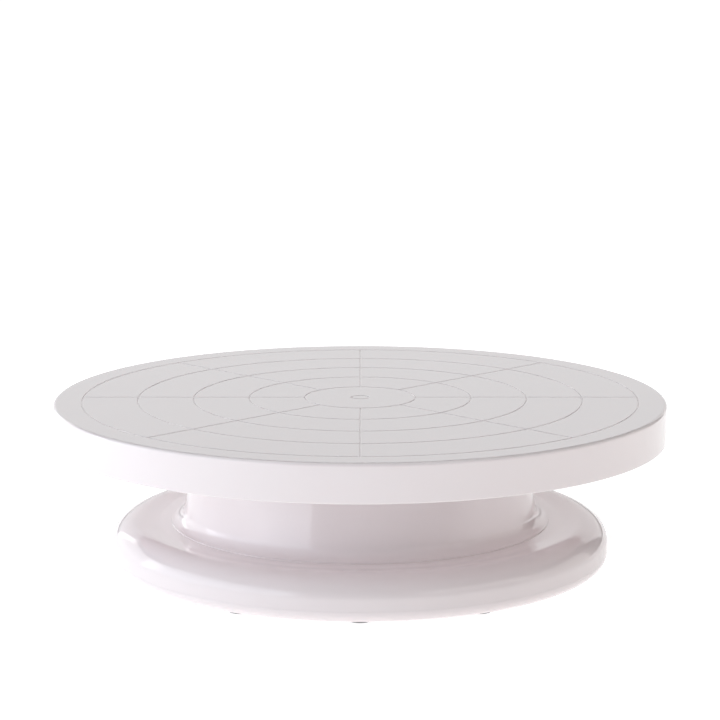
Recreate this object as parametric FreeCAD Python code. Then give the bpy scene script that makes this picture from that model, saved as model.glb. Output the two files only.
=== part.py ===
import FreeCAD, Part
import math
import os

# Cake turntable: a hollow round base with a tapered neck, and a platter that turns freely on a ring
# of steel balls round a central spindle. Millimetres, +Z up along the spindle, z = 0 is the table top.

# ---- driving dimensions --------------------------------------------------------------------------
platter_diameter = 280.0
overall_height = 76.0
skirt_depth = 17.0            # height of the platter's outside edge
base_diameter = 228.0
rim_height = 20.7             # crest of the base's rounded rim
foot_height = 1.0             # how far the rubber pads hold the base off the table
neck_joint_radius = 90.0      # where the neck's foot fillet ends on the base
neck_taper = 11.6             # degrees from vertical
wall = 2.6                    # moulded wall
plate_thickness = 3.0         # platter plate
ball_diameter = 6.0
ball_circle_radius = 58.0
ball_count = 24
shaft_radius = 6.0
pad_count = 12
guide_circle_step = 25.4      # one inch between the engraved guide circles

# ---- clearances and overlaps ---------------------------------------------------------------------
running_clearance = 0.05      # shaft in bush, screw in its hole
press_clearance = 0.02        # bush in the hub
track_clearance = 0.1         # ball to race track
pocket_clearance = 0.2        # ball to cage
fit_gap = 0.1                 # parts that drop into each other
end_play = 0.3                # washer to lower bush
bite = 0.5                    # how far a rib or boss runs into the wall that it grows from
past = 1.0                    # how far a cut runs past the face that it opens

# ---- base shell ----------------------------------------------------------------------------------
base_radius = base_diameter / 2
edge_radius = 5.6             # rounded lower edge of the tray
tray_bottom = foot_height
seam_height = tray_bottom + edge_radius
rim_band_top = 11.1           # the rim stands upright from the seam up to here
rim_crown_width = 11.5        # width of the rim's elliptical crown
channel_height = 19.9         # shallow channel between the rim and the neck
channel_outer_radius = 96.5
foot_step = 0.4               # small step where the neck's fillet ends
foot_fillet = 7.6
deck_top = 61.0
deck_thickness = 2.5
deck_corner = 2.5             # rounded corner between neck and deck
deck_underside = deck_top - deck_thickness
hub_bore_radius = 9.0
hub_radius = 12.0
hub_bottom = 14.0
gusset_count = 8
gusset_thickness = 2.0
gusset_outer_depth = 8.0      # below the deck, where a gusset meets the neck
gusset_inner_lift = 8.0       # above the hub's lower end, where a gusset meets the hub
race_boss_radius = 3.5
race_boss_depth = 7.0
race_hole_depth = 6.0
tray_boss_radius = 4.5

# ---- base tray, pads and hub cap -----------------------------------------------------------------
tray_floor = tray_bottom + wall
tray_screw_radius = 94.0
tray_screw_count = 6
tray_screw_angle = 15.0       # first screw, from +X
tray_boss_top = tray_floor + 2.0
tray_seat_radius = 5.0        # thickened seat round a screw
tray_screw_seat = tray_bottom + 2.4
counterbore_radius = 3.4
lip_thickness = 1.3           # lip that locates the tray inside the shell
lip_height = 1.5              # above the seam
tray_rib_radii = (32.0, 66.0)
tray_rib_thickness = 2.0
tray_rib_height = 3.0
tray_web_count = 12
tray_web_angle = 0.0
pad_radius = 6.0
pad_depth = 1.0               # how deep a pad sits in its pocket
pad_edge_radius = 0.5
pad_first_angle = -90.0
pad_inset = 0.7               # pad pocket's rim to the start of the tray's rounded edge
pad_circle_radius = base_radius - edge_radius - pad_inset - pad_radius
cap_radius = 23.0
cap_thickness = 1.2
cap_hole_radius = 20.0
cap_skirt_thickness = 1.7
cap_skirt_height = 3.0        # above the tray's floor
cap_slot_length = 9.0         # slot for a fingernail or a coin
cap_slot_width = 2.0
cap_slot_depth = 0.6
cap_slot_inset = 7.0

# ---- bearing stack, from the neck's deck upwards -------------------------------------------------
race_thickness = 2.0
race_inner_radius = 50.0
race_outer_radius = 71.0
ball_radius = ball_diameter / 2
ball_lift = 1.9               # ball centre above the lower race
ball_centre = deck_top + race_thickness + ball_lift
upper_race_bottom = ball_centre + ball_lift
upper_race_top = upper_race_bottom + race_thickness
cage_inner_radius = 53.0
cage_outer_radius = 63.0
cage_thickness = 2.0
race_screw_radius = 67.0
race_screw_count = 6

# ---- platter -------------------------------------------------------------------------------------
platter_radius = platter_diameter / 2
skirt_bottom = overall_height - skirt_depth
skirt_thickness = 2.8
top_edge_radius = 1.6
low_edge_radius = 1.0
plate_underside = overall_height - plate_thickness
hub_face = 69.0               # underside of the platter's hub, where the spindle flange bears
rib_thickness = 2.0
rib_count = 12
rib_angle = 15.0              # first outer rib, from +X
rib_depth = 6.0               # below the plate, next to the race
rib_rise = 3.0                # an outer rib is this much shallower at the skirt
rib_slope_run = 5.0           # where an outer rib reaches its full depth, out from the race
inner_web_count = 8
inner_web_angle = 22.5
ring_rib_radius = 105.0
ring_rib_depth = 4.5
race_rib_thickness = 2.2
centre_boss_radius = 9.0
pilot_depth = 2.5             # recess that centres the spindle's end
spindle_boss_radius = 4.5
mark_depth = 0.35
mark_width = 0.6
centre_mark_radius = 4.0
guide_circle_count = 5
guide_spoke_count = 8

# ---- spindle, bushes, washer and clip ------------------------------------------------------------
flange_radius = 24.0
flange_thickness = 3.0
flange_ring_thickness = 2.0   # ring under the platter that the spindle flange bears on
pilot_length = 2.0
spindle_screw_radius = 18.0
spindle_screw_count = 4
bush_flange = 1.5
bush_length = 10.0
washer_radius = 10.0
washer_thickness = 0.9
clip_radius = 8.5
clip_thickness = 1.0
clip_mouth = 6.4
clip_groove_radius = 5.0
washer_top = hub_bottom - bush_flange - end_play
clip_top = washer_top - washer_thickness
clip_bottom = clip_top - clip_thickness
shaft_tail = 2.3              # below the clip
shaft_end = clip_bottom - shaft_tail
shaft_chamfer = 0.8

# ---- pan-head screws: (head radius, head height, shank length) -----------------------------------
tray_screw = (3.0, 1.8, 11.0)
lower_race_screw = (2.75, 1.4, 7.5)
upper_race_screw = (2.75, 1.4, 5.6)
spindle_screw = (3.2, 1.8, 7.0)
screw_shank_radius = 1.4
screw_hole_radius = screw_shank_radius + running_clearance
screw_clear_radius = 1.8
head_rounding = 0.45          # share of the head's height
slot_depth = 0.5              # share of the head's height
slot_length = 1.1             # share of the head's radius
slot_width = 0.22             # share of the slot's length

ORIGIN = FreeCAD.Vector(0, 0, 0)
UP = FreeCAD.Vector(0, 0, 1)
TINY = 1e-6


# ---- drawing helpers: every outline is drawn as (radius, height) in the plane y = 0 ---------------
def at(radius, height):
    return FreeCAD.Vector(radius, 0, height)


def line(start, end):
    return Part.makeLine(at(*start), at(*end))


def polyline(*points):
    return [line(a, b) for a, b in zip(points, points[1:])]


def arc(centre, radius, start_angle, end_angle):
    """Circular arc in the (radius, height) plane; angles in degrees from the +radius direction."""
    points = []
    for angle in (start_angle, (start_angle + end_angle) / 2, end_angle):
        turn = math.radians(angle)
        points.append(at(centre[0] + radius * math.cos(turn), centre[1] + radius * math.sin(turn)))
    return Part.Arc(*points).toShape()


def quarter_ellipse(centre, width, height):
    """From the outermost point of an ellipse to its top."""
    side = at(centre[0] + width, centre[1])
    top = at(centre[0], centre[1] + height)
    return Part.Ellipse(side, top, at(*centre)).toShape(0, math.pi / 2)


def ease(outer, inner):
    """Two tangent arcs that ease a surface down from outer to inner, level at both ends."""
    length = outer[0] - inner[0]
    drop = outer[1] - inner[1]
    sweep = 2 * math.degrees(math.atan2(drop, length))
    radius = length / (2 * math.sin(math.radians(sweep)))
    convex = arc((outer[0], outer[1] - radius), radius, 90, 90 + sweep)
    concave = arc((inner[0], inner[1] + radius), radius, -90 + sweep, -90)
    return [convex, concave]


def turned(edges):
    """Solid of revolution about Z of a closed outline."""
    wire = Part.Wire(Part.__sortEdges__(edges))
    return Part.Face(wire).revolve(ORIGIN, UP, 360)


def disc(radius, bottom, top):
    return Part.makeCylinder(radius, top - bottom, FreeCAD.Vector(0, 0, bottom))


def ring(inner, outer, bottom, top):
    return disc(outer, bottom, top).cut(disc(inner, bottom - past, top + past))


def post(radius, circle_radius, angle, bottom, top):
    """Upright cylinder on a circle about Z."""
    turn = math.radians(angle)
    foot = FreeCAD.Vector(circle_radius * math.cos(turn), circle_radius * math.sin(turn), bottom)
    return Part.makeCylinder(radius, top - bottom, foot)


def angles(count, first=0.0):
    return [first + 360.0 * index / count for index in range(count)]


def posts(radius, circle_radius, count, bottom, top, first=0.0):
    return [post(radius, circle_radius, angle, bottom, top) for angle in angles(count, first)]


def at_race_screws(radius, bottom, top):
    return posts(radius, race_screw_radius, race_screw_count, bottom, top)


def at_tray_screws(radius, bottom, top):
    return posts(radius, tray_screw_radius, tray_screw_count, bottom, top, tray_screw_angle)


def webs(points, thickness, count, first=0.0):
    """Radial webs: a flat (radius, height) outline given a thickness and repeated about Z."""
    face = Part.Face(Part.Wire(polyline(*points, points[0])))
    face.translate(FreeCAD.Vector(0, -thickness / 2, 0))
    web = face.extrude(FreeCAD.Vector(0, thickness, 0))
    copies = []
    for angle in angles(count, first):
        copy = web.copy()
        copy.rotate(ORIGIN, UP, angle)
        copies.append(copy)
    return copies


def joined(first, others):
    return first.multiFuse(others).removeSplitter()


def drilled(shape, tools):
    return shape.cut(tools).removeSplitter()


def pan_screws(circle_radius, count, seat, size, up, first=0.0):
    """Group of pan-head screws; the heads bear on the plane z = seat and the shanks point up or down."""
    head_radius, head_height, shank_length = size
    sign = 1 if up else -1
    screws = []
    for angle in angles(count, first):
        head = post(head_radius, circle_radius, angle, *sorted((seat - sign * head_height, seat)))
        rim = [edge for edge in head.Edges if abs(edge.BoundBox.ZMin - seat) > head_height / 2]
        rim = [edge for edge in rim if edge.BoundBox.ZLength < TINY]
        head = head.makeFillet(head_height * head_rounding, rim)
        shank = post(screw_shank_radius, circle_radius, angle, *sorted((seat, seat + sign * shank_length)))
        outer_face = seat - sign * head_height
        slot_ends = sorted((outer_face, outer_face + sign * head_height * slot_depth))
        slots = cross_slot(circle_radius, angle, head_radius * slot_length, *slot_ends)
        screws.append(head.fuse(shank).cut(slots).removeSplitter())
    return Part.makeCompound([solid for screw in screws for solid in screw.Solids])


def cross_slot(circle_radius, angle, length, bottom, top):
    """Two crossed slots for a driver, centred on a screw."""
    turn = math.radians(angle)
    centre = FreeCAD.Vector(circle_radius * math.cos(turn), circle_radius * math.sin(turn), 0)
    width = length * slot_width
    slots = []
    for size_x, size_y in ((length, width), (width, length)):
        corner = FreeCAD.Vector(-size_x / 2, -size_y / 2, bottom)
        slot = Part.makeBox(size_x, size_y, top - bottom, corner)
        slot.translate(centre)
        slots.append(slot)
    return slots[0].fuse(slots[1])


# ---- base body -----------------------------------------------------------------------------------
def neck_profile(thickness):
    """Neck outline from the fillet's end up to the deck corner, set in from the outside by a thickness."""
    tilt = math.radians(neck_taper)
    centre = (neck_joint_radius, channel_height + foot_step + foot_fillet)
    radius = foot_fillet + thickness
    fillet = arc(centre, radius, -90, -180 + neck_taper)
    foot = (centre[0] - radius * math.cos(tilt), centre[1] - radius * math.sin(tilt))
    return fillet, foot, tilt


def neck_radius_at(height, thickness=0.0):
    _, foot, tilt = neck_profile(thickness)
    return foot[0] - (height - foot[1]) * math.tan(tilt)


def shell_outside():
    """Everything inside the base's outer surface, above the seam."""
    fillet, foot, tilt = neck_profile(0.0)
    crown_centre = (base_radius - rim_crown_width, rim_band_top)
    crest = (crown_centre[0], rim_height)
    # The deck corner is an arc tangent to the sloping wall and to the level deck.
    corner_height = deck_top - deck_corner
    corner_centre_radius = neck_radius_at(corner_height) - deck_corner / math.cos(tilt)
    corner_centre = (corner_centre_radius, corner_height)
    wall_end = (
        corner_centre[0] + deck_corner * math.cos(tilt),
        corner_centre[1] + deck_corner * math.sin(tilt),
    )
    edges = polyline((0, deck_top), (0, seam_height), (base_radius, seam_height), (base_radius, rim_band_top))
    edges.append(quarter_ellipse(crown_centre, rim_crown_width, rim_height - rim_band_top))
    edges += ease(crest, (channel_outer_radius, channel_height))
    edges += polyline(
        (channel_outer_radius, channel_height),
        (neck_joint_radius, channel_height),
        (neck_joint_radius, channel_height + foot_step),
    )
    edges.append(fillet)
    edges.append(line(foot, wall_end))
    edges.append(arc(corner_centre, deck_corner, neck_taper, 90))
    edges.append(line((corner_centre[0], deck_top), (0, deck_top)))
    return turned(edges)


def shell_cavity():
    """The hollow inside the base, open at the bottom."""
    fillet, foot, _ = neck_profile(wall)
    inner_radius = base_radius - wall
    crown_centre = (base_radius - rim_crown_width, rim_band_top)
    crown_height = rim_height - rim_band_top - wall
    underside = channel_height - wall
    edges = polyline((0, deck_underside), (0, 0), (inner_radius, 0), (inner_radius, rim_band_top))
    edges.append(quarter_ellipse(crown_centre, rim_crown_width - wall, crown_height))
    edges += polyline(
        (crown_centre[0], rim_band_top + crown_height),
        (channel_outer_radius, underside),
        (neck_joint_radius + wall, underside),
        (neck_joint_radius, underside + foot_step),
    )
    edges.append(fillet)
    edges += polyline(foot, (neck_radius_at(deck_underside, wall), deck_underside), (0, deck_underside))
    return turned(edges)


def base_shell():
    cavity = shell_cavity()
    ceiling = deck_underside + past
    gussets = webs(
        [(hub_bore_radius + past, ceiling), (neck_joint_radius, ceiling),
         (neck_joint_radius, deck_underside - gusset_outer_depth),
         (hub_bore_radius + past, hub_bottom + gusset_inner_lift)],
        gusset_thickness, gusset_count, 180.0 / gusset_count)
    race_bosses = at_race_screws(race_boss_radius, deck_underside - race_boss_depth, ceiling)
    tray_bosses = at_tray_screws(tray_boss_radius, tray_boss_top, channel_height)
    inner_features = [feature.common(cavity) for feature in gussets + race_bosses + tray_bosses]
    shell = shell_outside().cut(cavity)
    shell = joined(shell, inner_features + [disc(hub_radius, hub_bottom, ceiling)])
    holes = [disc(hub_bore_radius, hub_bottom - past, deck_top + past)]
    holes += at_race_screws(screw_hole_radius, deck_underside - race_hole_depth, deck_top + past)
    holes += at_tray_screws(screw_hole_radius, tray_boss_top - past, channel_height - wall - past)
    return drilled(shell, holes)


def base_tray():
    corner = (base_radius - edge_radius, seam_height)
    edges = polyline((0, tray_floor), (0, tray_bottom), (corner[0], tray_bottom))
    edges.append(arc(corner, edge_radius, -90, 0))
    edges.append(line((base_radius, seam_height), (base_radius - wall, seam_height)))
    edges.append(arc(corner, edge_radius - wall, 0, -90))
    edges.append(line((corner[0], tray_floor), (0, tray_floor)))
    lip_outer = base_radius - wall - fit_gap
    root = tray_floor - bite
    rib_top = tray_floor + tray_rib_height
    lip = ring(lip_outer - lip_thickness, lip_outer, tray_floor + bite, seam_height + lip_height)
    ribs = [ring(radius, radius + tray_rib_thickness, root, rib_top) for radius in tray_rib_radii]
    inner, outer = (radius + tray_rib_thickness / 2 for radius in tray_rib_radii)
    ribs += webs([(inner, root), (outer, root), (outer, rib_top), (inner, rib_top)],
                 tray_rib_thickness, tray_web_count, tray_web_angle)
    seats = at_tray_screws(tray_seat_radius, root, tray_boss_top)
    tray = joined(turned(edges), [lip] + ribs + seats)
    cuts = posts(pad_radius + fit_gap, pad_circle_radius, pad_count, 0, tray_bottom + pad_depth)
    cuts += at_tray_screws(counterbore_radius, 0, tray_screw_seat)
    cuts += at_tray_screws(screw_clear_radius, 0, tray_boss_top + past)
    cuts += [
        disc(cap_hole_radius, 0, tray_floor + past),
        disc(cap_radius + fit_gap, 0, tray_bottom + cap_thickness),
    ]
    return drilled(tray, cuts)


def base_tray_screws():
    return pan_screws(
        tray_screw_radius, tray_screw_count, tray_screw_seat, tray_screw, True, tray_screw_angle)


def rubber_pad(angle):
    pad = post(pad_radius, pad_circle_radius, angle, 0, tray_bottom + pad_depth)
    sole = [edge for edge in pad.Edges if edge.BoundBox.ZMax < TINY]
    return pad.makeFillet(pad_edge_radius, sole)


def hub_cap():
    cover_top = tray_bottom + cap_thickness
    cover = disc(cap_radius, tray_bottom, cover_top)
    outer = cap_hole_radius - fit_gap
    skirt = ring(outer - cap_skirt_thickness, outer, cover_top - bite, tray_floor + cap_skirt_height)
    corner = FreeCAD.Vector(-cap_slot_length / 2, cap_radius - cap_slot_inset, tray_bottom - past)
    finger_slot = Part.makeBox(cap_slot_length, cap_slot_width, cap_slot_depth + past, corner)
    return drilled(joined(cover, [skirt]), [finger_slot])


def bush(flange_bottom, body_bottom):
    """Flanged sleeve bearing in the hub bore."""
    flange = disc(hub_radius, flange_bottom, flange_bottom + bush_flange)
    body = disc(hub_bore_radius - press_clearance, body_bottom, body_bottom + bush_length)
    bore = disc(shaft_radius + running_clearance, body_bottom - bush_length, flange_bottom + 2 * bush_length)
    return drilled(joined(flange, [body]), [bore])


def upper_bush():
    return bush(deck_top, deck_top - bush_length)


def lower_bush():
    return bush(hub_bottom - bush_flange, hub_bottom)


# ---- ball bearing --------------------------------------------------------------------------------
def race(bottom):
    """Flat steel ring with a rounded track for the balls and screw holes outside the track."""
    plate = ring(race_inner_radius, race_outer_radius, bottom, bottom + race_thickness)
    track_radius = ball_radius + track_clearance
    track = Part.makeTorus(ball_circle_radius, track_radius, FreeCAD.Vector(0, 0, ball_centre))
    top = bottom + race_thickness
    holes = at_race_screws(screw_clear_radius, bottom - past, top + past)
    return drilled(plate, [track] + holes)


def lower_race():
    return race(deck_top)


def upper_race():
    return race(upper_race_bottom)


def lower_race_screws():
    return pan_screws(race_screw_radius, race_screw_count, deck_top + race_thickness, lower_race_screw, False)


def upper_race_screws():
    return pan_screws(race_screw_radius, race_screw_count, upper_race_bottom, upper_race_screw, True)


def ball_cage():
    bottom = ball_centre - cage_thickness / 2
    top = ball_centre + cage_thickness / 2
    plate = ring(cage_inner_radius, cage_outer_radius, bottom, top)
    pockets = posts(ball_radius + pocket_clearance, ball_circle_radius, ball_count, bottom - past, top + past)
    return drilled(plate, pockets)


def bearing_balls():
    balls = []
    for angle in angles(ball_count):
        turn = math.radians(angle)
        centre = (ball_circle_radius * math.cos(turn), ball_circle_radius * math.sin(turn), ball_centre)
        balls.append(Part.makeSphere(ball_radius, FreeCAD.Vector(*centre)))
    return Part.makeCompound(balls)


# ---- platter body --------------------------------------------------------------------------------
def platter_skin():
    """Plate and skirt, with the outside edges rounded."""
    skin = disc(platter_radius, skirt_bottom, overall_height)
    top_rims = [edge for edge in skin.Edges if edge.BoundBox.ZMin > overall_height - TINY]
    skin = skin.makeFillet(top_edge_radius, top_rims)
    low_rims = [edge for edge in skin.Edges if edge.BoundBox.ZMax < skirt_bottom + TINY]
    skin = skin.makeFillet(low_edge_radius, low_rims)
    return skin.cut(disc(platter_radius - skirt_thickness, skirt_bottom - past, plate_underside))


def guide_marks():
    """Fine engraved circles and spokes on the platter's top, for centring a cake and dividing it."""
    floor = overall_height - mark_depth
    top = overall_height + past
    half = mark_width / 2
    circles = [guide_circle_step * number for number in range(1, guide_circle_count + 1)]
    marks = [ring(radius - half, radius + half, floor, top) for radius in [centre_mark_radius] + circles]
    spoke = [(circles[0], floor), (circles[-1], floor), (circles[-1], top), (circles[0], top)]
    return marks + webs(spoke, mark_width, guide_spoke_count)


def platter():
    race_seat = upper_race_top
    root = plate_underside + bite
    skirt_root = platter_radius - skirt_thickness / 2
    hub_rings = [
        ring(flange_radius - flange_ring_thickness, flange_radius + bite, hub_face, root),
        disc(centre_boss_radius, hub_face, root),
        ring(race_inner_radius, race_inner_radius + race_rib_thickness, race_seat, root),
        ring(race_outer_radius - race_rib_thickness, race_outer_radius, race_seat, root),
        ring(ring_rib_radius, ring_rib_radius + rib_thickness, plate_underside - ring_rib_depth, root),
    ]
    web_ends = (centre_boss_radius - past, race_inner_radius + past)
    inner_webs = webs(
        [(web_ends[0], hub_face), (web_ends[1], hub_face), (web_ends[1], root), (web_ends[0], root)],
        rib_thickness, inner_web_count, inner_web_angle)
    low = plate_underside - rib_depth
    outer_ribs = webs(
        [(race_outer_radius - past, race_seat), (race_outer_radius + bite, race_seat),
         (race_outer_radius + rib_slope_run, low), (skirt_root, low + rib_rise),
         (skirt_root, root), (race_outer_radius - past, root)],
        rib_thickness, rib_count, rib_angle)
    bosses = posts(spindle_boss_radius, spindle_screw_radius, spindle_screw_count, hub_face, root)
    bosses += at_race_screws(race_boss_radius, race_seat, root)
    body = joined(platter_skin(), hub_rings + inner_webs + outer_ribs + bosses)
    cuts = [disc(shaft_radius + running_clearance, hub_face - past, hub_face + pilot_depth)]
    cuts += posts(screw_hole_radius, spindle_screw_radius, spindle_screw_count, hub_face - past, root + bite)
    cuts += at_race_screws(screw_hole_radius, race_seat - past, root)
    return drilled(body, cuts + guide_marks())


# ---- spindle group -------------------------------------------------------------------------------
def spindle():
    flange = disc(flange_radius, hub_face - flange_thickness, hub_face)
    shaft = disc(shaft_radius, shaft_end, hub_face + pilot_length)
    tip = [edge for edge in shaft.Edges if edge.BoundBox.ZMax < shaft_end + TINY]
    shaft = shaft.makeChamfer(shaft_chamfer, tip)
    groove = ring(clip_groove_radius, shaft_radius + past, clip_bottom, clip_top)
    holes = posts(screw_clear_radius, spindle_screw_radius, spindle_screw_count, 0, overall_height)
    return drilled(joined(flange, [shaft]), [groove] + holes)


def spindle_screws():
    seat = hub_face - flange_thickness
    return pan_screws(spindle_screw_radius, spindle_screw_count, seat, spindle_screw, True)


def thrust_washer():
    return ring(shaft_radius + running_clearance, washer_radius, clip_top, washer_top)


def retaining_clip():
    """Open spring ring in the spindle's groove."""
    body = ring(clip_groove_radius + running_clearance, clip_radius, clip_bottom, clip_top)
    corner = FreeCAD.Vector(past, -clip_mouth / 2, clip_bottom - past)
    mouth = Part.makeBox(clip_radius, clip_mouth, clip_thickness + 2 * past, corner)
    return drilled(body, [mouth])


SUBPARTS = {
    "base_shell": base_shell,
    "base_tray": base_tray,
    "base_tray_screws": base_tray_screws,
    "hub_cap": hub_cap,
    "upper_bush": upper_bush,
    "lower_bush": lower_bush,
    "lower_race": lower_race,
    "lower_race_screws": lower_race_screws,
    "ball_cage": ball_cage,
    "bearing_balls": bearing_balls,
    "upper_race": upper_race,
    "upper_race_screws": upper_race_screws,
    "platter": platter,
    "spindle": spindle,
    "spindle_screws": spindle_screws,
    "thrust_washer": thrust_washer,
    "retaining_clip": retaining_clip,
}


def main():
    os.makedirs("parts", exist_ok=True)
    shapes = {name: build() for name, build in SUBPARTS.items()}
    for number, angle in enumerate(angles(pad_count, pad_first_angle), start=1):
        shapes[f"rubber_pad_{number}"] = rubber_pad(angle)
    for name, shape in shapes.items():
        shape.exportStep(f"parts/{name}.step")
        print(f"{name}: {len(shape.Solids)} solid(s), {shape.Volume / 1000:.2f} cm3, valid {shape.isValid()}")


main()
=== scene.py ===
import bmesh
import bpy
import math
from mathutils import Matrix, Vector


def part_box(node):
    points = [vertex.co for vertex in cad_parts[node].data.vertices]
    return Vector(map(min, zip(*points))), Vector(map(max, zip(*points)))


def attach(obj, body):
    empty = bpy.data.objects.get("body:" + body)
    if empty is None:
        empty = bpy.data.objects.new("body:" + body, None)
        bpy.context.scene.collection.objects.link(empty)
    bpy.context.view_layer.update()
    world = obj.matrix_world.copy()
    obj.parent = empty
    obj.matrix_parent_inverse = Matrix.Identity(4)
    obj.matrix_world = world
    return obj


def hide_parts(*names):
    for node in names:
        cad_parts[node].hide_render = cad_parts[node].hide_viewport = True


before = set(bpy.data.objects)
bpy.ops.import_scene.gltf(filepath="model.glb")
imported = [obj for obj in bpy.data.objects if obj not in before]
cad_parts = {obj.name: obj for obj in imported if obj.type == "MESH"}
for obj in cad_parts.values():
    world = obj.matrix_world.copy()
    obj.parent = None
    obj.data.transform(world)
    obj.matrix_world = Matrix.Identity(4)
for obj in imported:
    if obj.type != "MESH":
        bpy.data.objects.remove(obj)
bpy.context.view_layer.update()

MM = 0.001

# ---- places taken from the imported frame, in millimetres ------------------------------------------
def low(node):
    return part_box(node)[0] / MM


def high(node):
    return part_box(node)[1] / MM


HAIR = 0.05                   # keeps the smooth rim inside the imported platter's coarser facets
SHAVE = 0.001                 # keeps the platter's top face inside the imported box
PLATTER_RADIUS = round(high("platter").x, 2) - HAIR
PLATTER_TOP = round(high("platter").z, 2) - SHAVE
SKIRT_BOTTOM = round(low("platter").z, 2)
BASE_RADIUS = round(high("base_shell").x, 2)
DECK = round(high("base_shell").z, 2)
TRAY_BOTTOM = round(low("base_tray").z, 2)
RACE_SEAT = round(high("upper_race").z, 2)
RACE_RADIUS = round(high("upper_race").x, 2)
CAP_RADIUS = round(high("hub_cap").x, 2)
pad_low, pad_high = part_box("rubber_pad_1")
PAD_CIRCLE = -(pad_low.y + pad_high.y) / 2 / MM

# ---- dimensions shared by the mouldings, in millimetres ------------------------------------------
WALL = 2.6
GAP = 0.1                     # round parts that drop into each other
BITE = 0.5                    # how far a rib or boss runs into the wall that it grows from
PAST = 1.0                    # how far a cut runs past the face that it opens
RIB = 2.0                     # thickness of ribs and webs
SCREW_HOLE = 1.45
ROOT_ROUND = 0.5              # where a rib meets a wall
CREST_ROUND = 0.15            # along a rib's free edge
AXIS = 1e-6                   # anything nearer the Z axis counts as on it

# ---- platter -------------------------------------------------------------------------------------
PLATE_UNDER = PLATTER_TOP - 3.0
HUB_FACE = PLATTER_TOP - 7.0
SKIRT_INNER = PLATTER_RADIUS - 2.8
SKIRT_DRAFT = 0.2
TOP_EDGE = 1.6
LOW_EDGE = 0.5
EDGE_LOOP = 0.2               # a ring of vertices this far from the rounded edge keeps the top flat
GUIDE_STEP = 25.4             # between the engraved circles
GUIDE_COUNT = 5
CENTRE_MARK = 4.0
CENTRE_RING = 1.8
SPOKES = 8
COLUMNS_BETWEEN_SPOKES = 40
RING_RIB_RADIUS = 106.0
RING_RIB_DEPTH = 4.5
RING_RIB_HALF = (1.0, 0.9)    # half width at the root and at the free edge
RACE_RIB = 2.2
RACE_RIB_INNER = 50.0
FLANGE_RADIUS = 24.0          # of the spindle's flange, which bears on a ring
FLANGE_RING = (FLANGE_RADIUS - 2.0, FLANGE_RADIUS + 0.5)
CENTRE_BOSS = 9.0
PILOT_RADIUS = 6.05
PILOT_DEPTH = 2.5
OUTER_RIBS = (12, 15.0)       # how many, and the first one's angle
OUTER_RIB_DEPTH = 6.0
OUTER_RIB_RISE = 3.0
INNER_WEBS = (8, 22.5)
INNER_WEB_ENDS = (8.0, 51.0)
FLANGE_SCREWS = 4
FLANGE_SCREW_CIRCLE = 18.0
FLANGE_BOSS = 4.5
RACE_SCREWS = 6
RACE_SCREW_CIRCLE = 67.0
RACE_BOSS = 3.5
EJECTOR_PINS = ((4.0, 121.0), (3.0, 89.0))   # radius of the mark and of its circle
EJECTOR_COUNT = 12
EJECTOR_DEPTH = 0.1

# ---- base ----------------------------------------------------------------------------------------
EDGE_RADIUS = 5.6
SEAM = TRAY_BOTTOM + EDGE_RADIUS
SEAM_EDGE = 0.06
TRAY_FLOOR = TRAY_BOTTOM + WALL
BAND_TOP = 11.1               # the rim stands upright up to here
CROWN_WIDTH = 11.5
RIM_TOP = 20.7
CHANNEL = 19.9
CHANNEL_FLAT = 5.0            # level part of the channel next to the neck
CHANNEL_UNDER_END = 96.5
NECK_JOINT = 87.0
FOOT_STEP = 0.4
FOOT_FILLET = 6.2
NECK_TAPER = math.radians(8.2)
DECK_CORNER = 2.5
DECK_UNDER = DECK - 2.5
HUB_BORE = 9.0
HUB_RADIUS = 12.0
HUB_BOTTOM = 14.0
GUSSETS = (8, 22.5)
GUSSET_INSET = 1.5            # from the hub's bore
GUSSET_DEPTH = 8.0            # below the deck at the neck, and above the hub's lower end
RACE_BOSS_DEPTH = 7.0
RACE_HOLE_DEPTH = 6.0
TRAY_BOSS = 4.5
TRAY_BOSS_LIFT = 2.0          # above the tray's floor
TRAY_BOSS_TOP = CHANNEL - 1.2

# ---- tray, cap and pads --------------------------------------------------------------------------
TRAY_SCREWS = (6, 15.0)
TRAY_SCREW_CIRCLE = 94.0
TRAY_SCREW_SEAT = TRAY_BOTTOM + 2.4
TRAY_SCREW_CLEAR = 1.8
COUNTERBORE = 3.4
SEAT_RADIUS = 5.0
SEAT_RISE = 2.0
LIP = 1.3                     # lip that locates the tray inside the shell
LIP_TOP = SEAM + 1.5
TRAY_RIBS = (68.0, 34.0)      # outer radius of each ring rib
TRAY_RIB_TOP = TRAY_FLOOR + 3.0
TRAY_WEBS = 12
TRAY_WEB_ENDS = (33.0, 67.0)
TRAY_WEB_SINK = 0.1           # below the ring ribs
CAP_TOP = TRAY_BOTTOM + 1.2
CAP_HOLE = 20.0
CAP_SKIRT = 1.7
CAP_SKIRT_TOP = TRAY_FLOOR + 3.0
CAP_SLOT = (9.0, 2.0, 1.2)    # length, width, and twice its depth
CAP_SLOT_INSET = 6.0
CAP_SLOT_CORNER = 0.9
PAD_RADIUS = 6.0
PAD_COUNT = 12
PAD_FIRST_ANGLE = -90.0
PAD_TOP = TRAY_BOTTOM + 1.0
PAD_SOLE_ROUND = 0.5
PAD_GROOVES = (2.2, 4.1)      # radius of each groove in the sole
PAD_GROOVE_HALF = (0.35, 0.2)  # half width at the sole and at the groove's floor
PAD_GROOVE_DEPTH = 0.3


# ---- outlines, drawn as (radius, height) ---------------------------------------------------------
def arc(centre, radius, start, end, steps):
    """Points along an arc; angles in degrees from the outward direction."""
    points = []
    for i in range(steps + 1):
        turn = math.radians(start + (end - start) * i / steps)
        points.append((centre[0] + radius * math.cos(turn), centre[1] + radius * math.sin(turn)))
    return points


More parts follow.
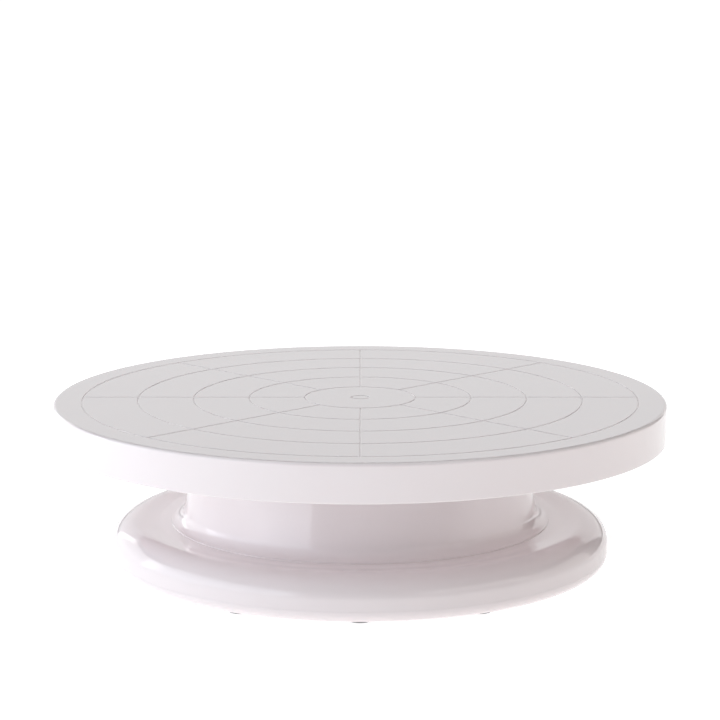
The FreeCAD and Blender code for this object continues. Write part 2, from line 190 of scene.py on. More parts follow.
def crown(centre, width, height, steps=18):
    """Quarter ellipse from its top to its outermost point."""
    points = []
    for i in range(steps + 1):
        turn = math.pi / 2 * (1 - i / steps)
        points.append((centre[0] + width * math.cos(turn), centre[1] + height * math.sin(turn)))
    return points


def ease(inner, outer, steps=10):
    """A surface that rises from inner to outer, level at both ends."""
    points = []
    for i in range(steps + 1):
        t = i / steps
        rise = t * t * (3 - 2 * t)
        points.append((inner[0] + (outer[0] - inner[0]) * t, inner[1] + (outer[1] - inner[1]) * rise))
    return points


def straight(start, end, steps):
    """Evenly spaced points between two corners, without the corners themselves."""
    return [
        (start[0] + (end[0] - start[0]) * i / steps, start[1] + (end[1] - start[1]) * i / steps)
        for i in range(1, steps)
    ]


NEARLY_HALF = 0.48            # how much of a straight stretch a rounded corner may take up


def rounded(corners, steps=3):
    """A closed outline with each corner (radius, height, rounding) rounded."""
    points = []
    count = len(corners)
    for i, (r, z, rounding) in enumerate(corners):
        here = Vector((r, z))
        if rounding <= 0:
            points.append((r, z))
            continue
        before = Vector(corners[i - 1][:2]) - here
        after = Vector(corners[(i + 1) % count][:2]) - here
        half = before.angle(after) / 2
        cut = min(rounding / math.tan(half), NEARLY_HALF * before.length, NEARLY_HALF * after.length)
        start = here + before.normalized() * cut
        end = here + after.normalized() * cut
        for k in range(steps + 1):
            t = k / steps
            bend = start * (1 - t) ** 2 + here * 2 * t * (1 - t) + end * t * t
            points.append(tuple(bend))
    return points


# ---- mesh helpers --------------------------------------------------------------------------------
SHARP_ANGLE = math.radians(32.0)
WELD = 1e-8


def finish_mesh(name, bm):
    bmesh.ops.remove_doubles(bm, verts=bm.verts, dist=WELD)
    bmesh.ops.recalc_face_normals(bm, faces=bm.faces)
    mesh = bpy.data.meshes.new(name)
    bm.to_mesh(mesh)
    bm.free()
    mesh.shade_smooth()
    mesh.set_sharp_from_angle(angle=SHARP_ANGLE)
    return mesh


def place(name, mesh):
    piece = bpy.data.objects.new(name, mesh)
    bpy.context.scene.collection.objects.link(piece)
    return piece


def turned(name, outline, columns=288, closed=True):
    """A solid of revolution. The outline is closed, or open with both ends on the axis."""
    bm = bmesh.new()
    rings = []
    for r, z in outline:
        if r < AXIS:
            rings.append([bm.verts.new((0, 0, z * MM))])
            continue
        rings.append([
            bm.verts.new((r * MM * math.cos(a), r * MM * math.sin(a), z * MM))
            for a in (2 * math.pi * i / columns for i in range(columns))
        ])
    pairs = list(zip(rings, rings[1:]))
    if closed:
        pairs.append((rings[-1], rings[0]))
    for one, two in pairs:
        bridge(bm, one, two)
    return place(name, finish_mesh(name, bm))


def bridge(bm, one, two):
    count = max(len(one), len(two))
    if count == 1:
        return
    for i in range(count):
        j = (i + 1) % count
        if len(one) == 1:
            bm.faces.new((one[0], two[i], two[j]))
        elif len(two) == 1:
            bm.faces.new((one[i], two[0], one[j]))
        else:
            bm.faces.new((one[i], two[i], two[j], one[j]))


def post(bm, radius, circle, angle, bottom, top, columns=40):
    """A closed upright cylinder on a circle about Z, added to a bmesh."""
    turn = math.radians(angle)
    centre = Vector((circle * math.cos(turn), circle * math.sin(turn), (bottom + top) / 2)) * MM
    bmesh.ops.create_cone(
        bm, cap_ends=True, segments=columns, radius1=radius * MM, radius2=radius * MM,
        depth=(top - bottom) * MM, matrix=Matrix.Translation(centre))


def web(bm, points, thickness, angle, rounding=0.25):
    """A radial rib: a flat (radius, height) outline given a thickness, with rounded edges."""
    turn = Matrix.Rotation(math.radians(angle), 3, "Z")
    sides = []
    for offset in (-thickness / 2, thickness / 2):
        verts = [bm.verts.new(turn @ Vector((r, offset, z)) * MM) for r, z in points]
        sides.append(verts)
    faces = [bm.faces.new(sides[0]), bm.faces.new(list(reversed(sides[1])))]
    count = len(points)
    for i in range(count):
        j = (i + 1) % count
        faces.append(bm.faces.new((sides[0][j], sides[0][i], sides[1][i], sides[1][j])))
    edges = {e for f in faces for e in f.edges}
    bmesh.ops.recalc_face_normals(bm, faces=faces)
    bmesh.ops.bevel(bm, geom=list(edges), offset=rounding * MM, segments=2, affect="EDGES", profile=0.5)


def angles(count, first=0.0):
    return [first + 360.0 * i / count for i in range(count)]


def combine(piece, operation, build):
    """Joins to, or cuts from, a piece the separate solids that build(bm) makes."""
    bm = bmesh.new()
    build(bm)
    tool = place("tool", finish_mesh("tool", bm))
    step = piece.modifiers.new("step", "BOOLEAN")
    step.operation = operation
    step.solver = "MANIFOLD"
    step.object = tool
    shape = piece.evaluated_get(bpy.context.evaluated_depsgraph_get())
    mesh = bpy.data.meshes.new_from_object(shape)
    piece.modifiers.clear()
    piece.data = mesh
    mesh.name = piece.name
    bpy.data.objects.remove(tool)
    mesh.shade_smooth()
    mesh.set_sharp_from_angle(angle=SHARP_ANGLE)


# ---- the platter's moulding ----------------------------------------------------------------------
# Section of an engraved line, as (offset, depth), with a flat margin on both sides.
GROOVE = [
    (-0.55, 0.0), (-0.40, 0.0), (-0.30, 0.04), (-0.17, 0.28), (0.0, 0.35),
    (0.17, 0.28), (0.30, 0.04), (0.40, 0.0), (0.55, 0.0),
]
SPOKE_END = GUIDE_STEP * GUIDE_COUNT
SPOKE_MARGIN = 0.1            # a spoke starts and ends within the groove of a circle


def platter_top_rings():
    """(radius, depth) of each ring of vertices over the platter's top, from the centre outwards."""
    rings = [(0.0, 0.0), (CENTRE_RING, 0.0)]
    previous = 0.0
    for centre in [CENTRE_MARK] + [GUIDE_STEP * n for n in range(1, GUIDE_COUNT + 1)]:
        if centre > 2 * CENTRE_MARK:
            rings += [(previous + (centre - previous) * t, 0.0) for t in (0.25, 0.5, 0.75)]
        rings += [(centre + offset, depth) for offset, depth in GROOVE]
        previous = centre
    rings += [(131.0, 0.0), (135.0, 0.0), (PLATTER_RADIUS - TOP_EDGE - EDGE_LOOP, 0.0)]
    return rings


def platter_outline():
    """The platter below its top's rounded edge, round to the axis underneath."""
    points = arc((PLATTER_RADIUS - TOP_EDGE, PLATTER_TOP - TOP_EDGE), TOP_EDGE, 90, 0, 12)
    points += straight(points[-1], (PLATTER_RADIUS, SKIRT_BOTTOM + LOW_EDGE), 6)
    points += arc((PLATTER_RADIUS - LOW_EDGE, SKIRT_BOTTOM + LOW_EDGE), LOW_EDGE, 0, -90, 8)
    under = [(SKIRT_INNER, SKIRT_BOTTOM, 0.4), (SKIRT_INNER - SKIRT_DRAFT, PLATE_UNDER, 1.0)]
    root, crest = RING_RIB_HALF
    ring_rib = [RING_RIB_RADIUS + half for half in (root, crest, -crest, -root)]
    under += ring_below(ring_rib, PLATE_UNDER - RING_RIB_DEPTH, 0.25)
    for outer, inner, bottom in (
        (RACE_RADIUS, RACE_RADIUS - RACE_RIB, RACE_SEAT),
        (RACE_RIB_INNER + RACE_RIB, RACE_RIB_INNER, RACE_SEAT),
        (FLANGE_RING[1], FLANGE_RING[0], HUB_FACE),
    ):
        under += ring_below((outer, outer, inner, inner), bottom, CREST_ROUND)
    under += [
        (CENTRE_BOSS, PLATE_UNDER, ROOT_ROUND), (CENTRE_BOSS, HUB_FACE, CREST_ROUND),
        (PILOT_RADIUS, HUB_FACE, 0.1), (PILOT_RADIUS, HUB_FACE + PILOT_DEPTH, 0.1),
        (0.0, HUB_FACE + PILOT_DEPTH, 0.0),
    ]
    ends = [(points[-1][0], points[-1][1], 0.0)] + under
    return points + rounded(ends)[1:]


def ring_below(radii, bottom, crest_round):
    """A ring rib under the plate, from its outer root to its inner root."""
    heights = (PLATE_UNDER, bottom, bottom, PLATE_UNDER)
    rounds = (ROOT_ROUND, crest_round, crest_round, ROOT_ROUND)
    return list(zip(radii, heights, rounds))


def platter_columns():
    """(angle, offset across the spoke, depth) of each column of vertices."""
    columns = []
    pitch = 2 * math.pi / SPOKES
    gap = GROOVE[-1][0] / SPOKE_END
    for spoke in range(SPOKES):
        middle = spoke * pitch
        columns += [(middle, offset, depth) for offset, depth in GROOVE]
        for i in range(1, COLUMNS_BETWEEN_SPOKES):
            share = i / COLUMNS_BETWEEN_SPOKES
            columns.append((middle + gap + (pitch - 2 * gap) * share, 0.0, 0.0))
    return columns


def platter_ring(bm, columns, radius, height, groove=0.0, engraved=False):
    """A ring of vertices. Beside a spoke the columns run parallel to it."""
    if radius < AXIS:
        return [bm.verts.new((0, 0, height * MM))]
    on_spoke = engraved and GUIDE_STEP - SPOKE_MARGIN < radius < SPOKE_END + SPOKE_MARGIN
    ring = []
    for angle, offset, depth in columns:
        turn = angle + offset / max(radius, GUIDE_STEP)
        sunk = max(groove, depth if on_spoke else 0.0)
        point = (radius * math.cos(turn), radius * math.sin(turn), height - sunk)
        ring.append(bm.verts.new(Vector(point) * MM))
    return ring


def platter_moulding():
    bm = bmesh.new()
    columns = platter_columns()
    rings = [platter_ring(bm, columns, r, PLATTER_TOP, depth, True) for r, depth in platter_top_rings()]
    rings += [platter_ring(bm, columns, r, z) for r, z in platter_outline()]
    for one, two in zip(rings, rings[1:]):
        bridge(bm, one, two)
    piece = place("platter_moulding", finish_mesh("platter_moulding", bm))

    root = PLATE_UNDER + BITE
    low_rib = PLATE_UNDER - OUTER_RIB_DEPTH
    skirt_end = SKIRT_INNER + 1.2
    outer = [
        (RACE_RADIUS - 1, RACE_SEAT + 0.3), (RACE_RADIUS + 0.5, RACE_SEAT), (RACE_RADIUS + 5, low_rib),
        (skirt_end, low_rib + OUTER_RIB_RISE), (skirt_end, root), (RACE_RADIUS - 1, root),
    ]
    near, far = INNER_WEB_ENDS
    web_bottom = HUB_FACE + 0.1
    inner = [(near, web_bottom), (far, web_bottom), (far, root), (near, root)]

    def ribs(bm):
        for angle in angles(*OUTER_RIBS):
            web(bm, outer, RIB, angle)

    def webs(bm):
        for angle in angles(*INNER_WEBS):
            web(bm, inner, RIB, angle)

    def bosses(bm):
        for angle in angles(FLANGE_SCREWS):
            post(bm, FLANGE_BOSS, FLANGE_SCREW_CIRCLE, angle, HUB_FACE, root)
        for angle in angles(RACE_SCREWS):
            post(bm, RACE_BOSS, RACE_SCREW_CIRCLE, angle, RACE_SEAT, root)

    def holes(bm):
        for angle in angles(FLANGE_SCREWS):
            post(bm, SCREW_HOLE, FLANGE_SCREW_CIRCLE, angle, HUB_FACE - PAST, PLATE_UNDER + 1)
        for angle in angles(RACE_SCREWS):
            post(bm, SCREW_HOLE, RACE_SCREW_CIRCLE, angle, RACE_SEAT - PAST, root)

    def ejector_marks(bm):
        for angle in angles(EJECTOR_COUNT):
            for radius, circle in EJECTOR_PINS:
                post(bm, radius, circle, angle, PLATE_UNDER - PAST, PLATE_UNDER + EJECTOR_DEPTH)

    combine(piece, "UNION", ribs)
    combine(piece, "UNION", webs)
    combine(piece, "UNION", bosses)
    combine(piece, "DIFFERENCE", holes)
    combine(piece, "DIFFERENCE", ejector_marks)
    return piece


# ---- the base's mouldings ------------------------------------------------------------------------
def neck_line(thickness):
    """Foot fillet's centre and radius, and the radius of the sloping wall at a height."""
    centre = (NECK_JOINT, CHANNEL + FOOT_STEP + FOOT_FILLET)
    radius = FOOT_FILLET + thickness
    foot = (centre[0] - radius * math.cos(NECK_TAPER), centre[1] - radius * math.sin(NECK_TAPER))

    def wall_at(height):
        return foot[0] - (height - foot[1]) * math.tan(NECK_TAPER)

    return centre, radius, wall_at


def shell_outline():
    centre, radius, wall_at = neck_line(0.0)
    corner_height = DECK - DECK_CORNER
    corner = (wall_at(corner_height) - DECK_CORNER / math.cos(NECK_TAPER), corner_height)
    taper = math.degrees(NECK_TAPER)
    outside = [(HUB_BORE, DECK)] + straight((HUB_BORE, DECK), (corner[0], DECK), 10)
    outside += arc(corner, DECK_CORNER, 90, taper, 10)
    foot = arc(centre, radius, -180 + taper, -90, 24)
    outside += straight(outside[-1], foot[0], 24) + foot
    round_off = FOOT_STEP * 0.5
    outside += arc((NECK_JOINT - round_off, CHANNEL + FOOT_STEP - round_off), round_off, 90, 0, 5)[1:]
    outside += arc((NECK_JOINT + round_off, CHANNEL + round_off), round_off, 180, 270, 5)
    crown_centre = (BASE_RADIUS - CROWN_WIDTH, BAND_TOP)
    outside += ease((NECK_JOINT + CHANNEL_FLAT, CHANNEL), (crown_centre[0], RIM_TOP), 16)
    outside += crown(crown_centre, CROWN_WIDTH, RIM_TOP - BAND_TOP)[1:]
    outside += straight(outside[-1], (BASE_RADIUS, SEAM + SEAM_EDGE), 4)
    outside += arc((BASE_RADIUS - SEAM_EDGE, SEAM + SEAM_EDGE), SEAM_EDGE, 0, -90, 4)

    centre, radius, wall_at = neck_line(WALL)
    inner = BASE_RADIUS - WALL
    inside = [(inner, SEAM), (inner, BAND_TOP)]
    inside += list(reversed(crown(crown_centre, CROWN_WIDTH - WALL, RIM_TOP - BAND_TOP - WALL)))[1:]
    inside += [(CHANNEL_UNDER_END, CHANNEL - WALL), (NECK_JOINT + WALL, CHANNEL - WALL)]
    inside += list(reversed(arc(centre, radius, -180 + taper, -90, 16)))
    inside += [
        (wall_at(DECK_UNDER), DECK_UNDER), (HUB_RADIUS, DECK_UNDER),
        (HUB_RADIUS, HUB_BOTTOM), (HUB_BORE, HUB_BOTTOM),
    ]
    return outside + inside


def shell_moulding():
    piece = turned("base_shell_moulding", shell_outline(), columns=384)
    ceiling = DECK_UNDER + 1.0
    _, _, wall_at = neck_line(WALL / 2)
    low_point = DECK_UNDER - GUSSET_DEPTH
    near = HUB_BORE + GUSSET_INSET
    gusset = [
        (near, ceiling), (wall_at(ceiling), ceiling), (wall_at(low_point), low_point),
        (near, HUB_BOTTOM + GUSSET_DEPTH),
    ]

    def gussets(bm):
        for angle in angles(*GUSSETS):
            web(bm, gusset, RIB, angle)

    def bosses(bm):
        for angle in angles(RACE_SCREWS):
            post(bm, RACE_BOSS, RACE_SCREW_CIRCLE, angle, DECK_UNDER - RACE_BOSS_DEPTH, ceiling)
        for angle in angles(*TRAY_SCREWS):
            post(bm, TRAY_BOSS, TRAY_SCREW_CIRCLE, angle, TRAY_FLOOR + TRAY_BOSS_LIFT, TRAY_BOSS_TOP)

    def holes(bm):
        for angle in angles(RACE_SCREWS):
            post(bm, SCREW_HOLE, RACE_SCREW_CIRCLE, angle, DECK_UNDER - RACE_HOLE_DEPTH, DECK + PAST)
        for angle in angles(*TRAY_SCREWS):
            post(bm, SCREW_HOLE, TRAY_SCREW_CIRCLE, angle, TRAY_FLOOR + 1, CHANNEL - WALL - 1)

    combine(piece, "UNION", gussets)
    combine(piece, "UNION", bosses)
    combine(piece, "DIFFERENCE", holes)
    return piece


def tray_moulding():
    corner = (BASE_RADIUS - EDGE_RADIUS, SEAM)
    recess = CAP_RADIUS + GAP
    outline = rounded([
        (CAP_HOLE, TRAY_FLOOR, 0.2), (CAP_HOLE, CAP_TOP, 0.1), (recess, CAP_TOP, 0.1),
        (recess, TRAY_BOTTOM, 0.25),
    ])
    outline += straight(outline[-1], (corner[0], TRAY_BOTTOM), 12)
    outline += arc(corner, EDGE_RADIUS, -90, -2, 16)
    outline += arc((BASE_RADIUS - SEAM_EDGE, SEAM - SEAM_EDGE), SEAM_EDGE, 0, 90, 4)
    lip = BASE_RADIUS - WALL - GAP
    outline += [(lip, SEAM)]
    outline += rounded([
        (lip, SEAM, 0), (lip, LIP_TOP, 0.3), (lip - LIP, LIP_TOP, 0.3), (lip - LIP, SEAM, 0),
    ])[1:]
    outline += arc(corner, EDGE_RADIUS - WALL, -40, -90, 8)
    for radius in TRAY_RIBS:
        outline += rounded([
            (radius, TRAY_FLOOR, 0), (radius, TRAY_RIB_TOP, 0.3),
            (radius - RIB, TRAY_RIB_TOP, 0.3), (radius - RIB, TRAY_FLOOR, 0),
        ])
    piece = turned("base_tray_moulding", outline, columns=384)

    near, far = TRAY_WEB_ENDS
    root = TRAY_FLOOR - BITE
    crest = TRAY_RIB_TOP - TRAY_WEB_SINK
    points = [(near, root), (far, root), (far, crest), (near, crest)]

    def webs(bm):
        for angle in angles(TRAY_WEBS):
            web(bm, points, RIB, angle)

    def seats(bm):
        for angle in angles(*TRAY_SCREWS):
            post(bm, SEAT_RADIUS, TRAY_SCREW_CIRCLE, angle, root, TRAY_FLOOR + SEAT_RISE)

    def pockets(bm):
        for angle in angles(PAD_COUNT, PAD_FIRST_ANGLE):
            post(bm, PAD_RADIUS + GAP, PAD_CIRCLE, angle, 0, PAD_TOP, columns=64)
        for angle in angles(*TRAY_SCREWS):
            post(bm, COUNTERBORE, TRAY_SCREW_CIRCLE, angle, 0, TRAY_SCREW_SEAT, columns=48)

    def holes(bm):
        for angle in angles(*TRAY_SCREWS):
            top = TRAY_FLOOR + SEAT_RISE + PAST
            post(bm, TRAY_SCREW_CLEAR, TRAY_SCREW_CIRCLE, angle, TRAY_BOTTOM + 1, top)

    combine(piece, "UNION", webs)
    combine(piece, "UNION", seats)
    combine(piece, "DIFFERENCE", pockets)
    combine(piece, "DIFFERENCE", holes)
    return piece


LEVEL = 1e-6                  # metres; an edge with a smaller rise is level


def cap_moulding():
    outer = CAP_HOLE - GAP
    inner = outer - CAP_SKIRT
    outline = rounded([
        (0.0, TRAY_BOTTOM, 0), (CAP_RADIUS, TRAY_BOTTOM, 0.3), (CAP_RADIUS, CAP_TOP, 0.15),
        (outer, CAP_TOP, 0.1), (outer, CAP_SKIRT_TOP, 0.3), (inner, CAP_SKIRT_TOP, 0.3),
        (inner, CAP_TOP, 0.2), (0.0, CAP_TOP, 0),
    ])
    piece = turned("hub_cap_moulding", outline, columns=128, closed=False)

    def slot(bm):
        length, width, height = (side * MM for side in CAP_SLOT)
        size = Matrix.Diagonal((length, width, height, 1.0))
        centre = Matrix.Translation(Vector((0.0, CAP_RADIUS - CAP_SLOT_INSET, TRAY_BOTTOM)) * MM)
        bmesh.ops.create_cube(bm, size=1.0, matrix=centre @ size)
        upright = [e for e in bm.edges if abs(e.verts[0].co.z - e.verts[1].co.z) > LEVEL]
        corner = CAP_SLOT_CORNER * MM
        bmesh.ops.bevel(bm, geom=upright, offset=corner, segments=5, affect="EDGES", profile=0.5)

    combine(piece, "DIFFERENCE", slot)
    return piece


def pad_mesh():
    """A round foot with two grip grooves in its sole, centred on the Z axis."""
    sole = [(0.0, 0.0, 0)]
    wide, narrow = PAD_GROOVE_HALF
    for radius in PAD_GROOVES:
        sole += [
            (radius - wide, 0.0, 0.08), (radius - narrow, PAD_GROOVE_DEPTH, 0.1),
            (radius + narrow, PAD_GROOVE_DEPTH, 0.1), (radius + wide, 0.0, 0.08),
        ]
    sole += [(PAD_RADIUS, 0.0, PAD_SOLE_ROUND), (PAD_RADIUS, PAD_TOP, 0.1), (0.0, PAD_TOP, 0)]
    piece = turned("pad_pattern", rounded(sole, steps=4), columns=96, closed=False)
    mesh = piece.data
    bpy.data.objects.remove(piece)
    return mesh


# ---- materials -----------------------------------------------------------------------------------
class Graph:
    """A small helper for writing a material's nodes."""

    def __init__(self, name):
        self.material = bpy.data.materials.new(name)
        self.material.use_nodes = True
        self.tree = self.material.node_tree
        self.tree.nodes.clear()
        self.output = self.node("ShaderNodeOutputMaterial")
        self.bsdf = self.node("ShaderNodeBsdfPrincipled")
        self.link(self.bsdf.outputs["BSDF"], self.output.inputs["Surface"])
        self.position = self.node("ShaderNodeTexCoord").outputs["Object"]

    def node(self, kind, **settings):
        node = self.tree.nodes.new(kind)
        for key, value in settings.items():
            setattr(node, key, value)
        return node

    def link(self, source, target):
        self.tree.links.new(source, target)

    def feed(self, socket, value):
        if isinstance(value, bpy.types.NodeSocket):
            self.link(value, socket)
        else:
            socket.default_value = value

    def set(self, **values):
        for key, value in values.items():
            self.feed(self.bsdf.inputs[key.replace("_", " ")], value)

    def noise(self, scale, detail=3.0, roughness=0.5, distortion=0.0, vector=None):
        node = self.node("ShaderNodeTexNoise")
        self.link(vector or self.position, node.inputs["Vector"])
        node.inputs["Scale"].default_value = scale
        node.inputs["Detail"].default_value = detail
        node.inputs["Roughness"].default_value = roughness
        node.inputs["Distortion"].default_value = distortion
        return node.outputs["Fac"]

    def math(self, operation, a, b=0.0, c=0.0):
        node = self.node("ShaderNodeMath", operation=operation)
        for socket, value in zip(node.inputs, (a, b, c)):
            self.feed(socket, value)
        return node.outputs[0]

    def remap(self, value, from_low, from_high, to_low, to_high):
        node = self.node("ShaderNodeMapRange")
        self.feed(node.inputs["Value"], value)
        self.feed(node.inputs["From Min"], from_low)
        self.feed(node.inputs["From Max"], from_high)
        self.feed(node.inputs["To Min"], to_low)
        self.feed(node.inputs["To Max"], to_high)
        return node.outputs[0]

    def blend(self, factor, a, b):
        node = self.node("ShaderNodeMix", data_type="RGBA")
        self.feed(node.inputs["Factor"], factor)
        self.feed(node.inputs["A"], a)
        self.feed(node.inputs["B"], b)
        return next(s for s in node.outputs if s.type == "RGBA")

    def bump(self, height, distance, strength=1.0, normal=None):
        node = self.node("ShaderNodeBump")
        self.feed(node.inputs["Height"], height)
        self.feed(node.inputs["Distance"], distance)
        self.feed(node.inputs["Strength"], strength)
        if normal is not None:
            self.link(normal, node.inputs["Normal"])
        return node.outputs["Normal"]

    def stretched(self, x, y, z):
        node = self.node("ShaderNodeMapping")
        self.link(self.position, node.inputs["Vector"])
        node.inputs["Scale"].default_value = (x, y, z)
        return node.outputs["Vector"]

    def split(self):
        node = self.node("ShaderNodeSeparateXYZ")
        self.link(self.position, node.inputs[0])
        return node.outputs

    def radius(self):
        """Distance from the Z axis."""
        x, y, _ = self.split()
        squares = self.math("ADD", self.math("MULTIPLY", x, x), self.math("MULTIPLY", y, y))
        return self.math("SQRT", squares)

    def polar(self, radial, around, along):
        """Coordinates of radius, angle about Z and height, each with its own scale."""
        x, y, z = self.split()
        angle = self.math("ARCTAN2", y, x)
        join = self.node("ShaderNodeCombineXYZ")
        self.link(self.math("MULTIPLY", self.radius(), radial), join.inputs[0])
        self.link(self.math("MULTIPLY", angle, around), join.inputs[1])
        self.link(self.math("MULTIPLY", z, along), join.inputs[2])
        return join.outputs[0]


PLASTIC = (0.865, 0.803, 0.810, 1.0)
PLASTIC_DEEP = (0.842, 0.774, 0.783, 1.0)
PLASTIC_ROUGHNESS = (0.075, 0.115)
PLASTIC_SCATTER = (0.0022, 0.0018, 0.0017)   # metres, for red, green and blue
DULL_SCATTER = (0.0020, 0.0018, 0.0014)
GREASE = (0.98, 0.90, 0.72, 1.0)


def white_plastic(name, turned_wear):
    """Glossy white moulded plastic. turned_wear adds fine rubbed arcs, as on a platter's top."""
    g = Graph(name)
    flow = g.noise(16.0, 4.0, 0.55, 0.6)
    grain = g.noise(900.0, 2.0)
    tone = g.math("ADD", g.math("MULTIPLY", flow, 0.8), g.math("MULTIPLY", grain, 0.2))
    gloss = g.remap(g.noise(55.0, 5.0, 0.6), 0.3, 0.7, *PLASTIC_ROUGHNESS)
    if turned_wear:
        hairs = g.noise(1.0, 6.0, 0.75, 0.0, g.polar(2600.0, 1.3, 60.0))
        lines = g.remap(hairs, 0.56, 0.74, 0.0, 1.0)
        gloss = g.math("ADD", gloss, g.math("MULTIPLY", lines, 0.10))
        peel = g.bump(hairs, 0.000003, 0.5)
    else:
        rubbed = g.noise(1.0, 8.0, 0.7, 0.3, g.stretched(900.0, 240.0, 500.0))
        scuffs = g.remap(rubbed, 0.60, 0.78, 0.0, 1.0)
        gloss = g.math("ADD", gloss, g.math("MULTIPLY", scuffs, 0.06))
        peel = None
    peel = g.bump(g.noise(320.0, 2.0, 0.4), 0.000006, 0.5, peel)
    peel = g.bump(g.noise(20.0, 1.0, 0.3), 0.00006, 0.25, peel)
    g.set(Base_Color=g.blend(tone, PLASTIC_DEEP, PLASTIC), Roughness=gloss, IOR=1.49, Normal=peel)
    g.set(Subsurface_Weight=0.06, Subsurface_Radius=PLASTIC_SCATTER, Subsurface_Scale=1.0)
    return g.material


def steel(name, dark, bright, roughness, radial=0.0, along=0.0, film=0.0):
    """Machined steel with turning marks, and an optional film of grease."""
    g = Graph(name)
    marks = g.noise(1.0, 4.0, 0.7, 0.0, g.polar(radial, 1.6, along))
    patches = g.noise(38.0, 5.0, 0.62, 0.4)
    tone = g.math("ADD", g.math("MULTIPLY", marks, 0.6), g.math("MULTIPLY", patches, 0.4))
    g.set(Base_Color=g.blend(tone, dark, bright))
    level = g.remap(marks, 0.25, 0.75, roughness - 0.06, roughness + 0.10)
    level = g.math("ADD", level, g.remap(patches, 0.4, 0.75, 0.0, 0.08))
    g.set(Metallic=1.0, Roughness=level, Normal=g.bump(marks, 0.000008, 0.7))
    if film:
        weight = g.remap(patches, 0.45, 0.6, 0.0, film)
        g.set(Coat_Weight=weight, Coat_Roughness=0.12, Coat_Tint=GREASE)
    return g.material


def ball_steel():
    g = Graph("polished_ball_steel")
    haze = g.noise(420.0, 4.0, 0.6)
    g.set(
        Base_Color=g.blend(haze, (0.58, 0.59, 0.61, 1.0), (0.68, 0.69, 0.71, 1.0)), Metallic=1.0,
        Roughness=g.remap(haze, 0.3, 0.7, 0.05, 0.12), Normal=g.bump(g.noise(2400.0), 0.000002, 0.4))
    return g.material


def zinc():
    g = Graph("zinc_plated_steel")
    spangle = g.noise(700.0, 4.0, 0.65, 0.5)
    g.set(
        Base_Color=g.blend(spangle, (0.50, 0.52, 0.55, 1.0), (0.70, 0.72, 0.74, 1.0)), Metallic=1.0,
        Roughness=g.remap(g.noise(240.0, 4.0), 0.3, 0.7, 0.22, 0.38),
        Normal=g.bump(spangle, 0.000012, 0.6))
    return g.material


def dull(name, dark, bright, rough_low, rough_high, grain, depth, subsurface=0.0):
    """Rubber, nylon and acetal: a fine-grained surface with little shine."""
    g = Graph(name)
    mottle = g.noise(90.0, 5.0, 0.6)
    fine = g.noise(grain, 3.0, 0.6)
    g.set(
        Base_Color=g.blend(mottle, dark, bright),
        Roughness=g.remap(fine, 0.3, 0.7, rough_low, rough_high),
        Normal=g.bump(fine, depth, 0.8), Subsurface_Weight=subsurface,
        Subsurface_Radius=DULL_SCATTER, Subsurface_Scale=1.0)
    return g.material


plastic = white_plastic("white_plastic_moulded", False)
platter_plastic = white_plastic("white_plastic_platter", True)
race_steel = steel(
    "greased_race_steel", (0.34, 0.35, 0.36, 1), (0.58, 0.59, 0.60, 1),
    roughness=0.26, radial=2600.0, film=0.8)
turned_steel = steel(
    "turned_spindle_steel", (0.36, 0.37, 0.38, 1), (0.60, 0.61, 0.62, 1),
    roughness=0.28, radial=900.0, along=3200.0)
spring_steel = steel(
    "phosphated_spring_steel", (0.035, 0.036, 0.04, 1), (0.09, 0.09, 0.10, 1),
    roughness=0.42, radial=1500.0, along=800.0)
rubber = dull(
    "grey_rubber", (0.115, 0.115, 0.120, 1), (0.165, 0.165, 0.170, 1),
    rough_low=0.62, rough_high=0.86, grain=1400.0, depth=0.00003)
nylon = dull(
    "blue_nylon", (0.014, 0.045, 0.135, 1), (0.022, 0.065, 0.180, 1),
    rough_low=0.38, rough_high=0.55, grain=900.0, depth=0.00002)
acetal = dull(
    "natural_acetal", (0.66, 0.64, 0.57, 1), (0.74, 0.72, 0.66, 1),
    rough_low=0.30, rough_high=0.45, grain=700.0, depth=0.00001, subsurface=0.15)

# ---- the pieces ----------------------------------------------------------------------------------
def finished(piece, node, body, material):
    """Puts a new piece in a CAD node's place."""
    piece.data.materials.clear()
    piece.data.materials.append(material)
    flat = piece.modifiers.new("flat_faces", "WEIGHTED_NORMAL")
    flat.keep_sharp = True
    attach(piece, body)
    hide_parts(node)


finished(platter_moulding(), "platter", "turntable", platter_plastic)
finished(shell_moulding(), "base_shell", "base", plastic)
finished(tray_moulding(), "base_tray", "base", plastic)
finished(cap_moulding(), "hub_cap", "base", plastic)

pad = pad_mesh()
for number in range(1, PAD_COUNT + 1):
    node = f"rubber_pad_{number}"
    corner_low, corner_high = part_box(node)
    foot = place(f"grip_foot_{number}", pad.copy())
    foot.data.transform(Matrix.Translation(Vector((
        (corner_low.x + corner_high.x) / 2, (corner_low.y + corner_high.y) / 2, corner_low.z))))
    finished(foot, node, "base", rubber)

NODE_FINISH = {
    "base_tray_screws": zinc(), "bearing_balls": ball_steel(), "ball_cage": nylon,
    "lower_race": race_steel, "upper_race": race_steel, "thrust_washer": race_steel,
    "spindle": turned_steel, "retaining_clip": spring_steel, "upper_bush": acetal, "lower_bush": acetal,
}
for node in ("lower_race_screws", "upper_race_screws", "spindle_screws"):
    NODE_FINISH[node] = NODE_FINISH["base_tray_screws"]
for node, finish in NODE_FINISH.items():
    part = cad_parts[node]
    part.data.materials.clear()
    part.data.materials.append(finish)

# ---- floor, whose glow is painted light, dimmer near the turntable as painted shade --------------
FLOOR_RADII = (0.0, 300.0, 2000.0, 16000.0)
# emission strengths of the floor: painted shade near the turntable, painted light far off
FLOOR_PAINTED_SHADE_GLOW_NEAR = 0.70
FLOOR_PAINTED_GLOW_FAR = 1.05
FLOOR_GLOW_START = 0.15       # metres from the axis
FLOOR_GLOW_END = 0.75


